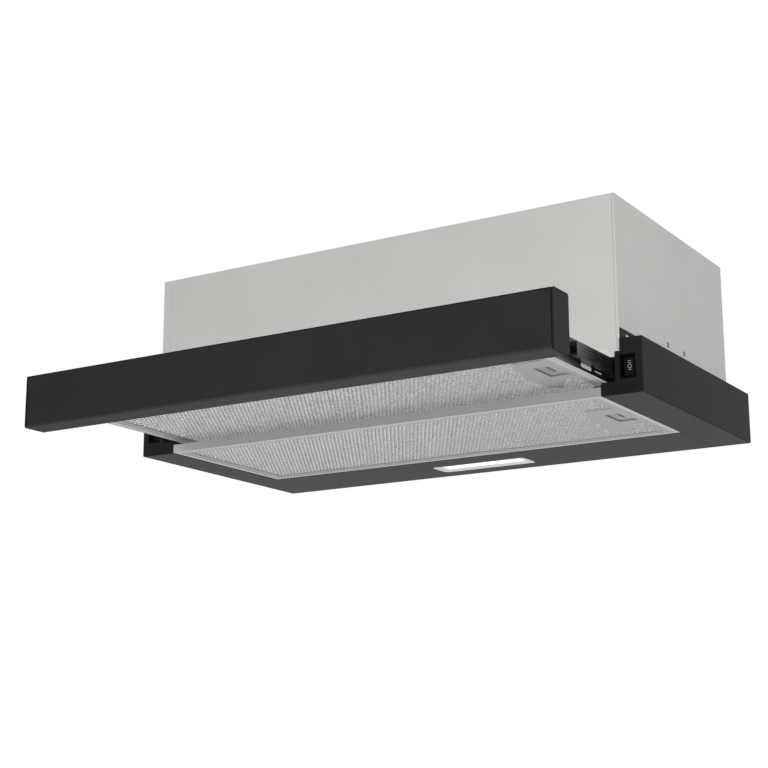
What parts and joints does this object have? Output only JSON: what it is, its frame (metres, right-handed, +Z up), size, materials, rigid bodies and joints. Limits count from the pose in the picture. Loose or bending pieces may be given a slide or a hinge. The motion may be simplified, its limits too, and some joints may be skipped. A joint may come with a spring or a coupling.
{
  "type": "pull out range hood",
  "caption": "Slim cooker hood for a wall cabinet with its black-fronted drawer pulled out: grease filters, ball slides, lamp strip, rocker switches, twin fan in a grey housing, duct collar",
  "frame": {"origin": "below the middle of the whole hood with the drawer open, at the height of its underside", "axes": "X across the hood from left to right as seen from the front, Y from the front to the back, Z up"},
  "size_m": [0.6, 0.477, 0.23],
  "materials": {
    "rail_black": "semi-matt black paint",
    "block_black": "fine-grained black plastic",
    "fascia_black": "semi-matt black paint",
    "housing_grey": "light grey paint",
    "ledge_grey": "light grey paint",
    "filter_aluminium": "brushed mill finish",
    "filter_mesh": "expanded mesh, bright",
    "latch_aluminium": "mill finish",
    "spring_steel": "bright spring steel",
    "slide_black": "black electrocoat",
    "cage_steel": "zinc plate",
    "switch_black": "satin black plastic",
    "bezel_grey": "grey plastic",
    "lens_white": "opal white plastic",
    "board_white": "white solder resist",
    "blower_zinc": "zinc-coated sheet",
    "motor_grey": "grey lamination stack and end shields",
    "shaft_steel": "bright steel",
    "wheel_plastic": "dark grey plastic",
    "terminal_white": "off-white plastic",
    "outlet_plastic": "black plastic"
  },
  "bodies": {
    "case": {"rail_cover_left": "rail_black", "rail_cover_right": "rail_black", "front_block_left": "block_black", "front_block_right": "block_black", "rear_strip": "rail_black", "filter_ledge_left": "ledge_grey", "filter_ledge_right": "ledge_grey", "housing_front": "housing_grey", "housing_side_left": "housing_grey", "housing_side_right": "housing_grey", "housing_top_panel": "housing_grey", "housing_back": "housing_grey", "outer_slide_left": "slide_black", "outer_slide_right": "slide_black", "light_switch_body": "switch_black", "speed_switch_body": "switch_black", "lamp_bezel": "bezel_grey", "lamp_lens": "lens_white", "led_board": "board_white", "blower_scroll": "blower_zinc", "blower_end_left": "blower_zinc", "blower_end_right": "blower_zinc", "motor_body": "motor_grey", "motor_bracket": "blower_zinc", "capacitor": "terminal_white", "terminal_box": "terminal_white", "cable_gland": "outlet_plastic", "outlet_collar": "outlet_plastic", "case_screws": "shaft_steel"},
    "drawer": {"fascia": "fascia_black", "fascia_cap_left": "block_black", "fascia_cap_right": "block_black", "drawer_side_left": "ledge_grey", "drawer_side_right": "ledge_grey", "drawer_rear_bar": "ledge_grey", "drawer_screws": "shaft_steel", "inner_slide_left": "slide_black", "inner_slide_right": "slide_black", "drawer_filter_frame": "filter_aluminium", "drawer_filter_pad": "filter_mesh", "drawer_latch_spring": "spring_steel"},
    "drawer_latch": {"drawer_latch": "latch_aluminium"},
    "case_filter": {"case_filter_frame": "filter_aluminium", "case_filter_pad": "filter_mesh", "case_latch_spring": "spring_steel"},
    "case_latch": {"case_latch": "latch_aluminium"},
    "speed_rocker": {"speed_rocker": "switch_black"},
    "light_rocker": {"light_rocker": "switch_black"},
    "rotor": {"motor_shaft": "shaft_steel", "fan_wheel_left": "wheel_plastic", "fan_wheel_right": "wheel_plastic"},
    "flap_front": {"flap_front": "outlet_plastic"},
    "flap_rear": {"flap_rear": "outlet_plastic"},
    "middle_slide_left": {"middle_slide_left": "slide_black"},
    "outer_ball_cage_left": {"outer_ball_cage_left": "cage_steel"},
    "inner_ball_cage_left": {"inner_ball_cage_left": "cage_steel"},
    "middle_slide_right": {"middle_slide_right": "slide_black"},
    "outer_ball_cage_right": {"outer_ball_cage_right": "cage_steel"},
    "inner_ball_cage_right": {"inner_ball_cage_right": "cage_steel"}
  },
  "joints": [
    {"name": "drawer_slide", "type": "slide", "parent": "case", "child": "drawer", "axis": [0, 1, 0], "range_m": [0, 0.1565]},
    {"name": "case_filter_tilt", "type": "hinge", "parent": "case", "child": "case_filter", "pos_m": [-0.2574, 0.0475, 0.0009], "axis": [0, -1, 0], "range_deg": [-25, 0]},
    {"name": "case_latch_slide", "type": "slide", "parent": "case_filter", "child": "case_latch", "axis": [-1, 0, 0], "range_m": [0, 0.003], "stiffness_N_per_m": 500, "springref_m": -0.002, "deforming": ["case_latch_spring"]},
    {"name": "drawer_latch_slide", "type": "slide", "parent": "drawer", "child": "drawer_latch", "axis": [-1, 0, 0], "range_m": [0, 0.003], "stiffness_N_per_m": 500, "springref_m": -0.002, "deforming": ["drawer_latch_spring"]},
    {"name": "speed_rocker_tilt", "type": "hinge", "parent": "case", "child": "speed_rocker", "pos_m": [0.285, -0.044, 0.0264], "axis": [1, 0, 0], "range_deg": [-9, 9]},
    {"name": "light_rocker_tilt", "type": "hinge", "parent": "case", "child": "light_rocker", "pos_m": [-0.285, -0.044, 0.0264], "axis": [1, 0, 0], "range_deg": [-18, 0]},
    {"name": "fan_spin", "type": "hinge", "parent": "case", "child": "rotor", "pos_m": [0, 0.0985, 0.124], "axis": [1, 0, 0], "continuous": true},
    {"name": "flap_front_swing", "type": "hinge", "parent": "case", "child": "flap_front", "pos_m": [0, 0.1423, 0.212], "axis": [-1, 0, 0], "range_deg": [0, 80]},
    {"name": "flap_rear_swing", "type": "hinge", "parent": "case", "child": "flap_rear", "pos_m": [0, 0.1467, 0.212], "axis": [1, 0, 0], "range_deg": [0, 80]},
    {"name": "middle_slide_left_run", "type": "slide", "parent": "case", "child": "middle_slide_left", "axis": [0, 1, 0], "range_m": [0, 0.0785]},
    {"name": "outer_ball_cage_left_run", "type": "slide", "parent": "case", "child": "outer_ball_cage_left", "axis": [0, 1, 0], "range_m": [0, 0.0393]},
    {"name": "inner_ball_cage_left_run", "type": "slide", "parent": "case", "child": "inner_ball_cage_left", "axis": [0, 1, 0], "range_m": [0, 0.1175]},
    {"name": "middle_slide_right_run", "type": "slide", "parent": "case", "child": "middle_slide_right", "axis": [0, 1, 0], "range_m": [0, 0.0785]},
    {"name": "outer_ball_cage_right_run", "type": "slide", "parent": "case", "child": "outer_ball_cage_right", "axis": [0, 1, 0], "range_m": [0, 0.0393]},
    {"name": "inner_ball_cage_right_run", "type": "slide", "parent": "case", "child": "inner_ball_cage_right", "axis": [0, 1, 0], "range_m": [0, 0.1175]}
  ],
  "couplings": [
    {"joint": "middle_slide_left_run", "follows": "drawer_slide", "ratio": 0.5},
    {"joint": "outer_ball_cage_left_run", "follows": "drawer_slide", "ratio": 0.25},
    {"joint": "inner_ball_cage_left_run", "follows": "drawer_slide", "ratio": 0.75},
    {"joint": "middle_slide_right_run", "follows": "drawer_slide", "ratio": 0.5},
    {"joint": "outer_ball_cage_right_run", "follows": "drawer_slide", "ratio": 0.25},
    {"joint": "inner_ball_cage_right_run", "follows": "drawer_slide", "ratio": 0.75}
  ]
}
